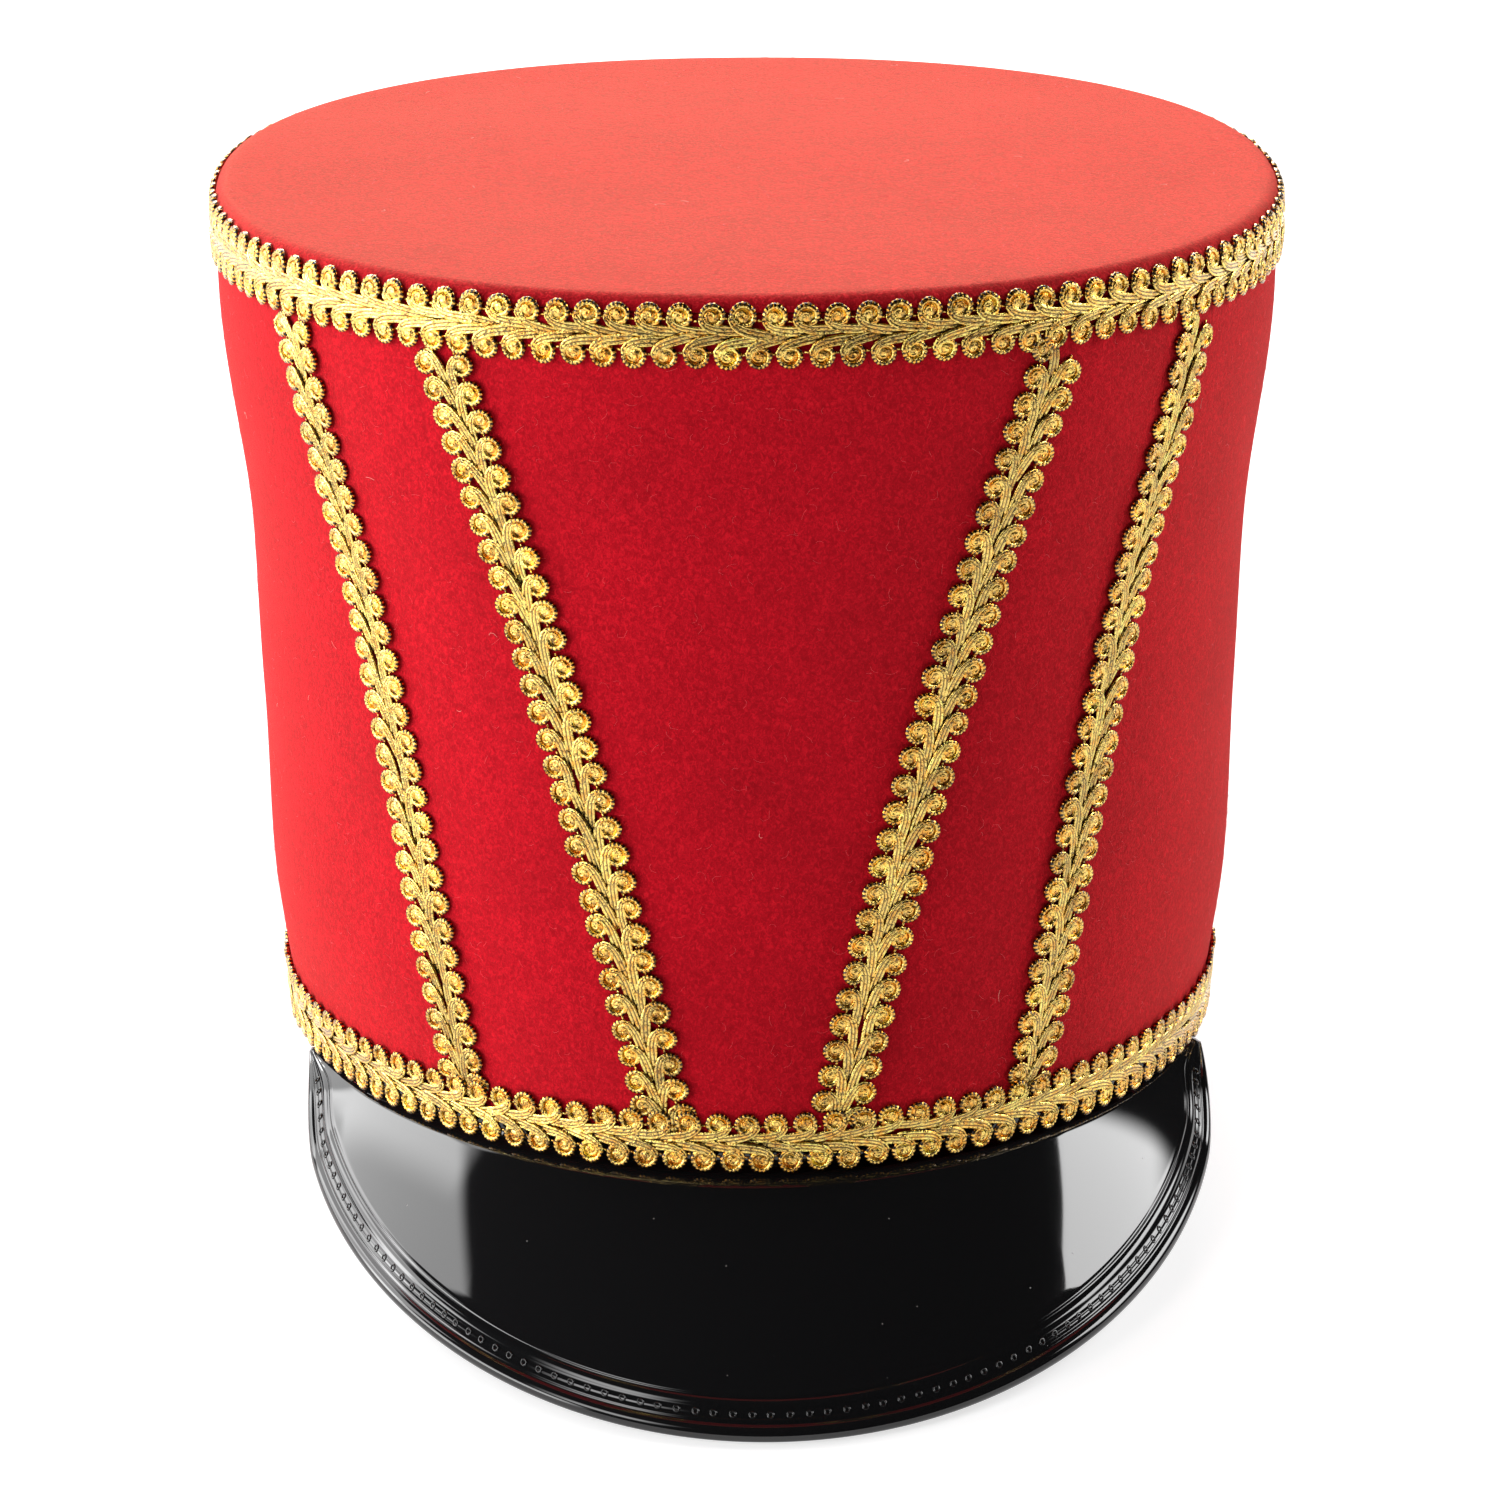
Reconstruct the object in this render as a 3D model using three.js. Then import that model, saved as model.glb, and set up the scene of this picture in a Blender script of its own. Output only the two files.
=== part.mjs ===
// A shako: a tall felt crown that flares towards a flat top, edged and slashed
// with looped gold braid, over a moulded black peak. Millimetres, +Z up, the
// front faces -Y. It stands as it does on a table, on the back of its rim and
// the tip of its peak.

import * as THREE from 'three';

// ---- Driving sizes -------------------------------------------------------

const SCALLOP = 5.3;          // pitch of the braid's loops along a ring

const crown = {
  height: 162.8,              // rim to the face of the flat top
  wall: 2.2,
  topThickness: 2.8,
  topEdgeRadius: 2.6,
};

// The crown's outline at six levels: drawn in at the rim, upright, then flared.
// Squareness is the power of the oval, where 2 is an ellipse.
const levels = [
  { height: 0, halfWidth: 88.8, halfDepth: 101.3, squareness: 2.0 },
  { height: 30, halfWidth: 92.0, halfDepth: 103.2, squareness: 2.04 },
  { height: 65, halfWidth: 93.1, halfDepth: 104.0, squareness: 2.08 },
  { height: 100, halfWidth: 94.3, halfDepth: 104.8, squareness: 2.12 },
  { height: 140, halfWidth: 99.0, halfDepth: 106.5, squareness: 2.16 },
  { height: crown.height, halfWidth: 99.3, halfDepth: 107.2, squareness: 2.18 },
];

const braid = {
  width: 11.8,                // over the tips of its loops
  thickness: 1.0,
  notch: 1.3,                 // depth of the dips between loops
  clearance: 0.3,             // ring to felt
  stripClearance: 0.45,       // a flat-backed strip on the round felt
  topDrop: 0.9,               // upper loops below the face of the top
  rimRise: 0.2,               // lower loops above the rim
};

// Each slanted strip's angle from the front, in degrees, at the top ring and at
// the rim ring, and how far it bows between them.
const strips = [
  { name: 'braid_outer_left', topAngle: -52.6, rimAngle: -32.7, bow: 1.8 },
  { name: 'braid_inner_left', topAngle: -31.8, rimAngle: -9.4, bow: 1.6 },
  { name: 'braid_inner_right', topAngle: 30.3, rimAngle: 7.5, bow: -1.8 },
  { name: 'braid_outer_right', topAngle: 49.3, rimAngle: 29.3, bow: -1.9 },
];

const peak = {
  thickness: 1.7,
  endAngle: 68,               // where each end meets the rim, from the front
  edgeHalfWidth: 86.6,        // plan of the outer edge: an ellipse ...
  edgeHalfDepth: 104.4,
  edgeCentre: { x: 0.9, y: -37.1 },    // ... set forward of the crown's centre
  edgeSlope: 0.264,           // the edge lies in a plane that falls to the front
  edgeStart: -13,             // where that plane crosses the rim
  ends: { from: 52, to: 68, lift: 0.85, taper: 0.5 },  // they lift and narrow to the rim
  endWidth: 0.6,
  bulge: 1.2,                 // how far the sheet is crowned between rim and edge
  lipWidth: 2.3,
  lipRise: 0.45,
  flangeHeight: 9,            // turned up inside the rim, where it is sewn
  seatGap: 0.35,
};

// Colour, roughness and metalness of each finish.
const finishes = {
  felt: { color: 0xc8142d, roughness: 0.95, metalness: 0 },
  gilt: { color: 0xd2aa46, roughness: 0.4, metalness: 0.8 },
  patent: { color: 0x0b0b0c, roughness: 0.12, metalness: 0 },
};

// ---- The crown's outer surface -------------------------------------------

const radians = THREE.MathUtils.degToRad;
const mix = THREE.MathUtils.lerp;

const outlineAt = new THREE.CubicInterpolant(
  Float64Array.from(levels, (level) => level.height),
  Float64Array.from(levels.flatMap((level) => [level.halfWidth, level.halfDepth, level.squareness])),
  3,
);

/** Half width, half depth and squareness of the crown's outline at height z. */
function outlineSizes(z) {
  const [a, b, n] = outlineAt.evaluate(THREE.MathUtils.clamp(z, 0, crown.height));
  return { a, b, n };
}

/** Level outward normal of the crown at an angle from the front. */
function outward(angle, z) {
  const { a, b, n } = outlineSizes(z);
  const slant = (value, half) => (Math.sign(value) * Math.abs(value) ** (n - 1)) / half ** n;
  return new THREE.Vector3(slant(Math.sin(angle), a), -slant(Math.cos(angle), b), 0).normalize();
}

/** Point at an angle from the front and height z, moved out from the felt. */
function onCrown(angle, z, out = 0) {
  const { a, b, n } = outlineSizes(z);
  const [s, c] = [Math.sin(angle), Math.cos(angle)];
  const radius = (Math.abs(s / a) ** n + Math.abs(c / b) ** n) ** (-1 / n);
  return new THREE.Vector3(radius * s, -radius * c, z).addScaledVector(outward(angle, z), out);
}

/** The crown's outline at one height, as a closed curve from the front. */
class Outline extends THREE.Curve {
  constructor(z) {
    super();
    this.z = z;
    this.arcLengthDivisions = 1440;
  }

  getPoint(t) {
    return onCrown(2 * Math.PI * t, this.z);
  }
}

/** Angles that cut the crown's outline at height z into equal lengths. */
function evenAngles(count, z) {
  const outline = new Outline(z);
  return Array.from({ length: count + 1 }, (_, i) => {
    return 2 * Math.PI * outline.getUtoTmapping((i % count) / count);
  });
}

/** Moves every vertex of a geometry to where the function puts it. */
function warp(geometry, place) {
  const position = geometry.getAttribute('position');
  const vertex = new THREE.Vector3();
  for (let i = 0; i < position.count; i += 1) {
    vertex.fromBufferAttribute(position, i);
    position.setXYZ(i, ...place(vertex));
  }
  geometry.computeVertexNormals();
  return geometry;
}

/** A ring with a closed section of [out, height] points, at the given angles. */
function ringAround(section, angles, place) {
  const core = 50;            // radius of the plain ring before it is warped
  const profile = [...section, section[0]].map(([out, z]) => new THREE.Vector2(core + out, z));
  const ring = new THREE.LatheGeometry(profile, angles.length - 1);
  const step = (2 * Math.PI) / (angles.length - 1);
  return warp(ring, ({ x, y, z }) => {
    const column = Math.round(Math.atan2(x, z) / step);
    const index = (column + angles.length - 1) % (angles.length - 1);
    return place(angles[index], y, Math.hypot(x, z) - core, index);
  });
}

// ---- Felt ----------------------------------------------------------------

const wallTop = crown.height - crown.topThickness - braid.clearance;

function crownWall() {
  const outside = [0, 0.1, 0.25, 0.45, 0.65, 0.85, 1].map((share) => [0, share * wallTop]);
  const inside = [1, 0.7, 0.3, 0].map((share) => [-crown.wall, share * wallTop]);
  const section = [...outside, ...inside];
  return ringAround(section, evenAngles(72, 0), (angle, z, out) => onCrown(angle, z, out));
}

function crownTop() {
  const { height, topThickness, topEdgeRadius: r } = crown;
  const { a } = outlineSizes(height);
  const corner = [0, 40, 90].map(radians);
  const profile = [
    new THREE.Vector2(0, height - topThickness),
    new THREE.Vector2(a, height - topThickness),
    ...corner.map((t) => new THREE.Vector2(a - r + r * Math.cos(t), height - r + r * Math.sin(t))),
    new THREE.Vector2(0, height),
  ];
  return warp(new THREE.LatheGeometry(profile, 72), ({ x, y, z }) => {
    const edge = onCrown(Math.atan2(x, z), height);
    return edge.multiplyScalar(Math.hypot(x, z) / a).setZ(y);
  });
}

// ---- Braid ---------------------------------------------------------------

const columnsPerLoop = 3;     // one in the dip, two over the loop

/** How far a column's edge is drawn in: only at the dip between two loops. */
const dip = (column, phase) => (column % columnsPerLoop === phase ? braid.notch : 0);

/** A closed ring of braid whose lower tips are at height base. */
function braidRing(base, loops) {
  const middle = base + braid.width / 2;
  const angles = evenAngles(loops * columnsPerLoop, middle);
  const stagger = Math.PI / (3 * loops);   // the two edges are half a loop apart
  const outer = braid.clearance + braid.thickness;
  const section = [
    [braid.clearance, base],
    [outer, base],
    [outer, base + braid.width],
    [braid.clearance, base + braid.width],
  ];
  return ringAround(section, angles, (angle, z, out, column) => {
    return z > middle
      ? onCrown(angle, z - dip(column, 0), out)
      : onCrown(angle + stagger, z + dip(column, 1), out);
  });
}

/** A slanted strip between the two rings, whose angles are given at their middles. */
function braidStrip({ topAngle, rimAngle, bow }) {
  const low = braid.rimRise + braid.width + braid.clearance;
  const high = crown.height - braid.topDrop - braid.width - braid.clearance;
  const angleAt = (z) => {
    const share = (z - low + braid.width / 2) / (high - low + braid.width);
    return radians(mix(rimAngle, topAngle, share) + 4 * bow * share * (1 - share));
  };
  const centre = (z) => onCrown(angleAt(z), z);
  const length = centre(low).distanceTo(centre(high));
  const columns = columnsPerLoop * Math.round(length / (SCALLOP * 0.96));
  const slab = new THREE.BoxGeometry(braid.width, 1, braid.thickness, 1, columns, 1);
  return warp(slab, ({ x, y, z: depth }) => {
    const column = Math.round((y + 0.5) * columns);
    const height = mix(low, high, column / columns);
    const middle = centre(height);
    const along = centre(height + 1).sub(middle).normalize();
    const normal = outward(angleAt(height), height);
    const across = new THREE.Vector3().crossVectors(along, normal).normalize();
    const edge = x - Math.sign(x) * dip(column, x > 0 ? 0 : 1);
    const flat = middle.addScaledVector(across, edge);
    const angle = Math.atan2(flat.x, -flat.y);
    const level = THREE.MathUtils.clamp(flat.z, low, high);
    return onCrown(angle, level, braid.stripClearance + braid.thickness / 2 + depth);
  });
}

// ---- Peak ----------------------------------------------------------------

/** How far the edge stands out from the rim, and how far it drops, at an angle. */
function edgeReach(angle) {
  const rim = onCrown(angle, 0);
  const n = outward(angle, 0);
  const [w, d] = [peak.edgeHalfWidth, peak.edgeHalfDepth];
  const x = rim.x - peak.edgeCentre.x;
  const y = rim.y - peak.edgeCentre.y;
  const qa = (n.x / w) ** 2 + (n.y / d) ** 2;
  const qb = (x * n.x) / w ** 2 + (y * n.y) / d ** 2;
  const qc = (x / w) ** 2 + (y / d) ** 2 - 1;
  const plan = (-qb + Math.sqrt(Math.max(qb ** 2 - qa * qc, 0))) / qa;
  const { from, to, lift, taper } = peak.ends;
  const towardsEnd = (THREE.MathUtils.radToDeg(Math.abs(angle)) - from) / (to - from);
  const narrowed = 1 - taper * THREE.MathUtils.clamp(towardsEnd, 0, 1) ** 2;
  const out = Math.max(plan * narrowed, peak.endWidth);
  const ahead = peak.edgeStart - (rim.y + n.y * out);
  const lifted = lift * THREE.MathUtils.smoothstep(towardsEnd, 0, 1);
  return { out, drop: peak.edgeSlope * ahead * (1 - lifted) };
}

/** Rows of the peak's section at an angle: upper point, and the way through the sheet. */
function peakRows(angle) {
  const { out, drop } = edgeReach(angle);
  const seat = -peak.seatGap;
  const inside = -crown.wall - peak.seatGap;
  const start = new THREE.Vector2(0.5, seat);
  const end = new THREE.Vector2(out, seat - drop);
  const slope = end.clone().sub(start);
  const length = slope.length();
  slope.normalize();
  const through = new THREE.Vector2(slope.y, -slope.x).multiplyScalar(peak.thickness);
  const lip = Math.min(peak.lipWidth, length / 3) / length;
  const onSlope = (share, rise = 0, thicken = 1) => {
    const crowned = 4 * share * (1 - share) * peak.bulge * Math.min(length / 40, 1);
    const upper = start.clone().addScaledVector(slope, share * length);
    upper.addScaledVector(through, -(rise + crowned) / peak.thickness);
    return { upper, through: through.clone().multiplyScalar(thicken) };
  };
  const lipThickness = 1 + (2 * peak.lipRise) / peak.thickness;
  return [
    { upper: new THREE.Vector2(inside, peak.flangeHeight), through: new THREE.Vector2(-1.4, 0) },
    { upper: new THREE.Vector2(inside, seat), through: new THREE.Vector2(-1.4, -1.2) },
    { upper: start, through: through.clone() },
    onSlope(0.25),
    onSlope(0.5),
    onSlope(0.75),
    onSlope(1 - lip),
    onSlope(1 - lip * 0.7, peak.lipRise, lipThickness),
    onSlope(1 - lip * 0.15, peak.lipRise, lipThickness),
    onSlope(1, 0, 1),
  ];
}

function peakSheet() {
  const [columns, rows] = [34, 9];
  const sheet = new THREE.BoxGeometry(2, 1, 1, columns, rows, 1);
  return warp(sheet, ({ x, y, z: side }) => {
    const angle = radians(peak.endAngle) * x;
    const { upper, through } = peakRows(angle)[Math.round((0.5 - y) * rows)];
    const section = side > 0 ? upper : upper.clone().add(through);
    const rim = onCrown(angle, 0).addScaledVector(outward(angle, 0), section.x);
    return rim.setZ(section.y);
  });
}

// ---- Assembly ------------------------------------------------------------

function named(name, geometry, finish) {
  const mesh = new THREE.Mesh(geometry, new THREE.MeshStandardMaterial(finishes[finish]));
  mesh.name = name;
  return mesh;
}

const topRingBase = crown.height - braid.topDrop - braid.width;
const peakMesh = named('peak', peakSheet(), 'patent');

const hat = new THREE.Group();
hat.add(
  named('crown_wall', crownWall(), 'felt'),
  named('crown_top', crownTop(), 'felt'),
  named('top_braid', braidRing(topRingBase, 123), 'gilt'),
  named('rim_braid', braidRing(braid.rimRise, 115), 'gilt'),
  ...strips.map((strip) => named(strip.name, braidStrip(strip), 'gilt')),
  peakMesh,
);

/** The angle at which the back of the rim and the peak's tip share one floor. */
function restingLean(geometry) {
  const heel = onCrown(Math.PI, 0);
  const position = geometry.getAttribute('position');
  let lean = 0;
  for (let i = 0; i < position.count; i += 1) {
    lean = Math.max(lean, Math.atan2(heel.z - position.getZ(i), heel.y - position.getY(i)));
  }
  return lean;
}

hat.rotation.x = -restingLean(peakMesh.geometry);

const group = new THREE.Group();
group.add(hat);
const bounds = new THREE.Box3().setFromObject(group, true);
const centre = bounds.getCenter(new THREE.Vector3());
hat.position.set(-centre.x, -centre.y, -bounds.min.z);

export default group;
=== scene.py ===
"""A shako: a red felt crown trimmed with gilt gimp braid, over a glossy moulded peak."""

import logging
import math
from dataclasses import dataclass
from enum import Enum
from typing import Callable, Sequence

import bmesh
import bpy
import numpy as np
from mathutils import Matrix, Vector


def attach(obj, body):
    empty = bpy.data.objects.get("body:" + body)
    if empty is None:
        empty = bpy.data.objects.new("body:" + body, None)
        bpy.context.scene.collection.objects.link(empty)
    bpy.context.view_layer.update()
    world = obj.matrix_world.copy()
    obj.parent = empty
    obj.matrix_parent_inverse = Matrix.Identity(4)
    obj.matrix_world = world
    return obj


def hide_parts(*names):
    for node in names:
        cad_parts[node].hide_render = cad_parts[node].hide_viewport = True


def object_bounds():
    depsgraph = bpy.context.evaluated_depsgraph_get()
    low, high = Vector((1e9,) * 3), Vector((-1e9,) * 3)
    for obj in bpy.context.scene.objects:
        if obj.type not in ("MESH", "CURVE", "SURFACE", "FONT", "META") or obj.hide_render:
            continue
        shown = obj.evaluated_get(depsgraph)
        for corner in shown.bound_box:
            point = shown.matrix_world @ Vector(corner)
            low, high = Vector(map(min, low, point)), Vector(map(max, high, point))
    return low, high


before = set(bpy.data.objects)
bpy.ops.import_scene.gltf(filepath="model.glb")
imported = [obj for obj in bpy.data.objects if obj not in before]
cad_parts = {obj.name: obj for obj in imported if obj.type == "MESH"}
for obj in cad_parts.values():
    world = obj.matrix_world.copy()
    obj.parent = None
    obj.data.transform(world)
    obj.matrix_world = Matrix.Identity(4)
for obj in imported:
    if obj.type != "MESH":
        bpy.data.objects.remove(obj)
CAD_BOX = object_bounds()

log = logging.getLogger("shako")

MM = 0.001
BODY = "root"
SEED = 20
FULL_TURN = 2.0 * math.pi
CORE = 50.0               # radius in mm of the plain ring that a section is spun round first

Place = Callable[[np.ndarray], np.ndarray]


# ---- Small tools ---------------------------------------------------------


def linear_from_hex(colour: str) -> tuple[float, float, float, float]:
    """Turns an sRGB hex colour into the linear colour that the shaders use.

    Args:
        colour: six hex digits, such as "c8142d".

    Returns:
        Linear red, green and blue, and an alpha of one.
    """
    shares = [int(colour[i:i + 2], 16) / 255 for i in (0, 2, 4)]
    red, green, blue = (s / 12.92 if s <= 0.04045 else ((s + 0.055) / 1.055) ** 2.4 for s in shares)
    return (red, green, blue, 1.0)


def add_node(tree: bpy.types.NodeTree, kind: str, settings: dict | None = None,
             links: dict | None = None) -> bpy.types.Node:
    """Adds a node with its settings and links.

    Args:
        tree: the node tree that gets it.
        kind: the node's type name.
        settings: values by input name, input number or property name.
        links: source sockets by input name or number.

    Returns:
        The new node.
    """
    node = tree.nodes.new(kind)
    for name, value in (settings or {}).items():
        if isinstance(name, int) or name in node.inputs:
            node.inputs[name].default_value = value
        else:
            setattr(node, name, value)
    for name, source in (links or {}).items():
        tree.links.new(source, node.inputs[name])
    return node


def new_material(name: str) -> tuple[bpy.types.Material, bpy.types.NodeTree]:
    """Makes an empty node material.

    Args:
        name: the material's name.

    Returns:
        The material and its node tree.
    """
    material = bpy.data.materials.new(name)
    material.use_nodes = True
    material.node_tree.nodes.clear()
    return material, material.node_tree


def warp(bm: bmesh.types.BMesh, place: Place) -> None:
    """Moves every vertex of a mesh to where a function puts it.

    Args:
        bm: the mesh.
        place: takes an array of points and gives back their new places.
    """
    points = np.array([vertex.co for vertex in bm.verts])
    for vertex, point in zip(bm.verts, place(points)):
        vertex.co = point


def add_piece(bm: bmesh.types.BMesh, name: str, material: bpy.types.Material,
              stands_for: Sequence[str] = ()) -> bpy.types.Object:
    """Makes a finished mesh an object of the scene, hangs it on the root body and hides the CAD nodes
    that it replaces.

    Args:
        bm: the mesh, in metres in the shared frame; it is freed.
        name: the piece's name.
        material: its finish.
        stands_for: the CAD nodes that it replaces.

    Returns:
        The new object.
    """
    mesh = bpy.data.meshes.new(name)
    bm.to_mesh(mesh)
    bm.free()
    mesh.materials.append(material)
    mesh.polygons.foreach_set("use_smooth", [True] * len(mesh.polygons))
    piece = bpy.data.objects.new(name, mesh)
    bpy.context.scene.collection.objects.link(piece)
    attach(piece, BODY)
    if stands_for:
        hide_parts(*stands_for)
    log.info("%s: %d faces", name, len(mesh.polygons))
    return piece


def spun_section(section: Sequence[tuple[float, float]], steps: int) -> bmesh.types.BMesh:
    """Spins a closed section into a plain ring about the z axis.

    Args:
        section: corners as (distance from the axis, height).
        steps: parts that the turn is cut into.

    Returns:
        The ring, with its faces outwards.
    """
    bm = bmesh.new()
    verts = [bm.verts.new((0.0, -radius, height)) for radius, height in section]
    edges = [bm.edges.new(pair) for pair in zip(verts, verts[1:] + verts[:1])]
    bmesh.ops.spin(bm, geom=verts + edges, cent=(0, 0, 0), axis=(0, 0, 1), dvec=(0, 0, 0),
                   angle=FULL_TURN, steps=steps, use_merge=True)
    bmesh.ops.remove_doubles(bm, verts=bm.verts, dist=1e-4)
    bmesh.ops.recalc_face_normals(bm, faces=bm.faces)
    return bm


# ---- The crown's form ----------------------------------------------------


@dataclass(frozen=True)
class CrownForm:
    """The crown's outer surface, in millimetres, upright on its rim.

    Each level is a height with the outline's half width, half depth and squareness there.
    Angles run from the front towards +X.
    """

    height: float = 162.8
    wall: float = 2.2
    top_thickness: float = 2.8
    corner_radius: float = 2.6
    seam_gap: float = 0.3
    levels: tuple[tuple[float, float, float, float], ...] = (
        (0.0, 88.8, 101.3, 2.0),
        (30.0, 92.0, 103.2, 2.04),
        (65.0, 93.1, 104.0, 2.08),
        (100.0, 94.3, 104.8, 2.12),
        (140.0, 99.0, 106.5, 2.16),
        (162.8, 99.3, 107.2, 2.18),
    )

    def sizes(self, z: np.ndarray) -> tuple[np.ndarray, np.ndarray, np.ndarray]:
        """Half width, half depth and squareness of the outline at each height.

        Args:
            z: heights above the rim.

        Returns:
            Three arrays, drawn through the levels as smooth cubics.
        """
        table = np.array(self.levels)
        heights, values = table[:, 0], table[:, 1:]
        z = np.clip(np.asarray(z, float), 0.0, heights[-1])
        last = len(heights) - 1
        i = np.clip(np.searchsorted(heights, z, side="right"), 1, last)
        start, end = heights[i - 1], heights[i]
        before = np.where(i == 1, i, i - 2)
        after = np.where(i == last, i - 1, np.minimum(i + 1, last))
        z_before = np.where(i == 1, 2 * start - end, heights[before])
        z_after = np.where(i == last, 2 * end - start, heights[after])
        half = (end - start) / 2
        wp, wn = half / (start - z_before), half / (z_after - end)
        p = (z - start) / (end - start)
        shares = (
            -wp * p ** 3 + 2 * wp * p ** 2 - wp * p,
            (1 + wp) * p ** 3 + (-1.5 - 2 * wp) * p ** 2 + (-0.5 + wp) * p + 1,
            (-1 - wn) * p ** 3 + (1.5 + wn) * p ** 2 + 0.5 * p,
            wn * p ** 3 - wn * p ** 2,
        )
        mixed = sum(s[..., None] * values[k] for s, k in zip(shares, (before, i - 1, i, after)))
        return mixed[..., 0], mixed[..., 1], mixed[..., 2]

    def outward(self, angle: np.ndarray, z: np.ndarray) -> np.ndarray:
        """Level outward normals of the crown.

        Args:
            angle: angles from the front.
            z: heights above the rim.

        Returns:
            An array of unit vectors.
        """
        a, b, n = self.sizes(z)
        s, c = np.sin(angle), np.cos(angle)
        x = np.sign(s) * np.abs(s) ** (n - 1) / a ** n
        y = -np.sign(c) * np.abs(c) ** (n - 1) / b ** n
        length = np.hypot(x, y)
        return np.stack([x / length, y / length, np.zeros_like(length)], axis=-1)

    def point(self, angle: np.ndarray, z: np.ndarray, out: np.ndarray | float = 0.0) -> np.ndarray:
        """Points on the crown, moved out from the felt.

        Args:
            angle: angles from the front.
            z: heights above the rim.
            out: distances out along the level normal.

        Returns:
            An array of points.
        """
        angle, z = np.broadcast_arrays(np.asarray(angle, float), np.asarray(z, float))
        a, b, n = self.sizes(z)
        s, c = np.sin(angle), np.cos(angle)
        radius = (np.abs(s / a) ** n + np.abs(c / b) ** n) ** (-1 / n)
        level = np.stack([radius * s, -radius * c, z], axis=-1)
        return level + self.outward(angle, z) * np.asarray(out, float)[..., None]

    def girth(self, z: float) -> tuple[np.ndarray, np.ndarray]:
        """Angles round the outline at one height, and the length of cloth up to each.

        Args:
            z: the height.

        Returns:
            Angles from 0 to a full turn, and arc lengths.
        """
        angles = np.linspace(0.0, FULL_TURN, 1441)
        steps = np.linalg.norm(np.diff(self.point(angles, np.full(1441, z)), axis=0), axis=1)
        return angles, np.concatenate([[0.0], np.cumsum(steps)])


@dataclass(frozen=True)
class Stance:
    """How the upright crown sits in the shared frame: leant back, with its peak's tip down."""

    lean: float = math.radians(8.411)
    shift: tuple[float, float, float] = (0.0, 7.0, 14.818)

    def place(self, points: np.ndarray) -> np.ndarray:
        """Turns upright millimetres into the shared frame's metres.

        Args:
            points: places on the upright crown.

        Returns:
            The same places where the hat stands.
        """
        c, s = math.cos(self.lean), math.sin(self.lean)
        x, y, z = np.moveaxis(points, -1, 0)
        leant = np.stack([x, y * c + z * s, -y * s + z * c], axis=-1)
        return (leant + np.array(self.shift)) * MM


CROWN = CrownForm()
STANCE = Stance()


# ---- Finishes ------------------------------------------------------------


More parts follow.
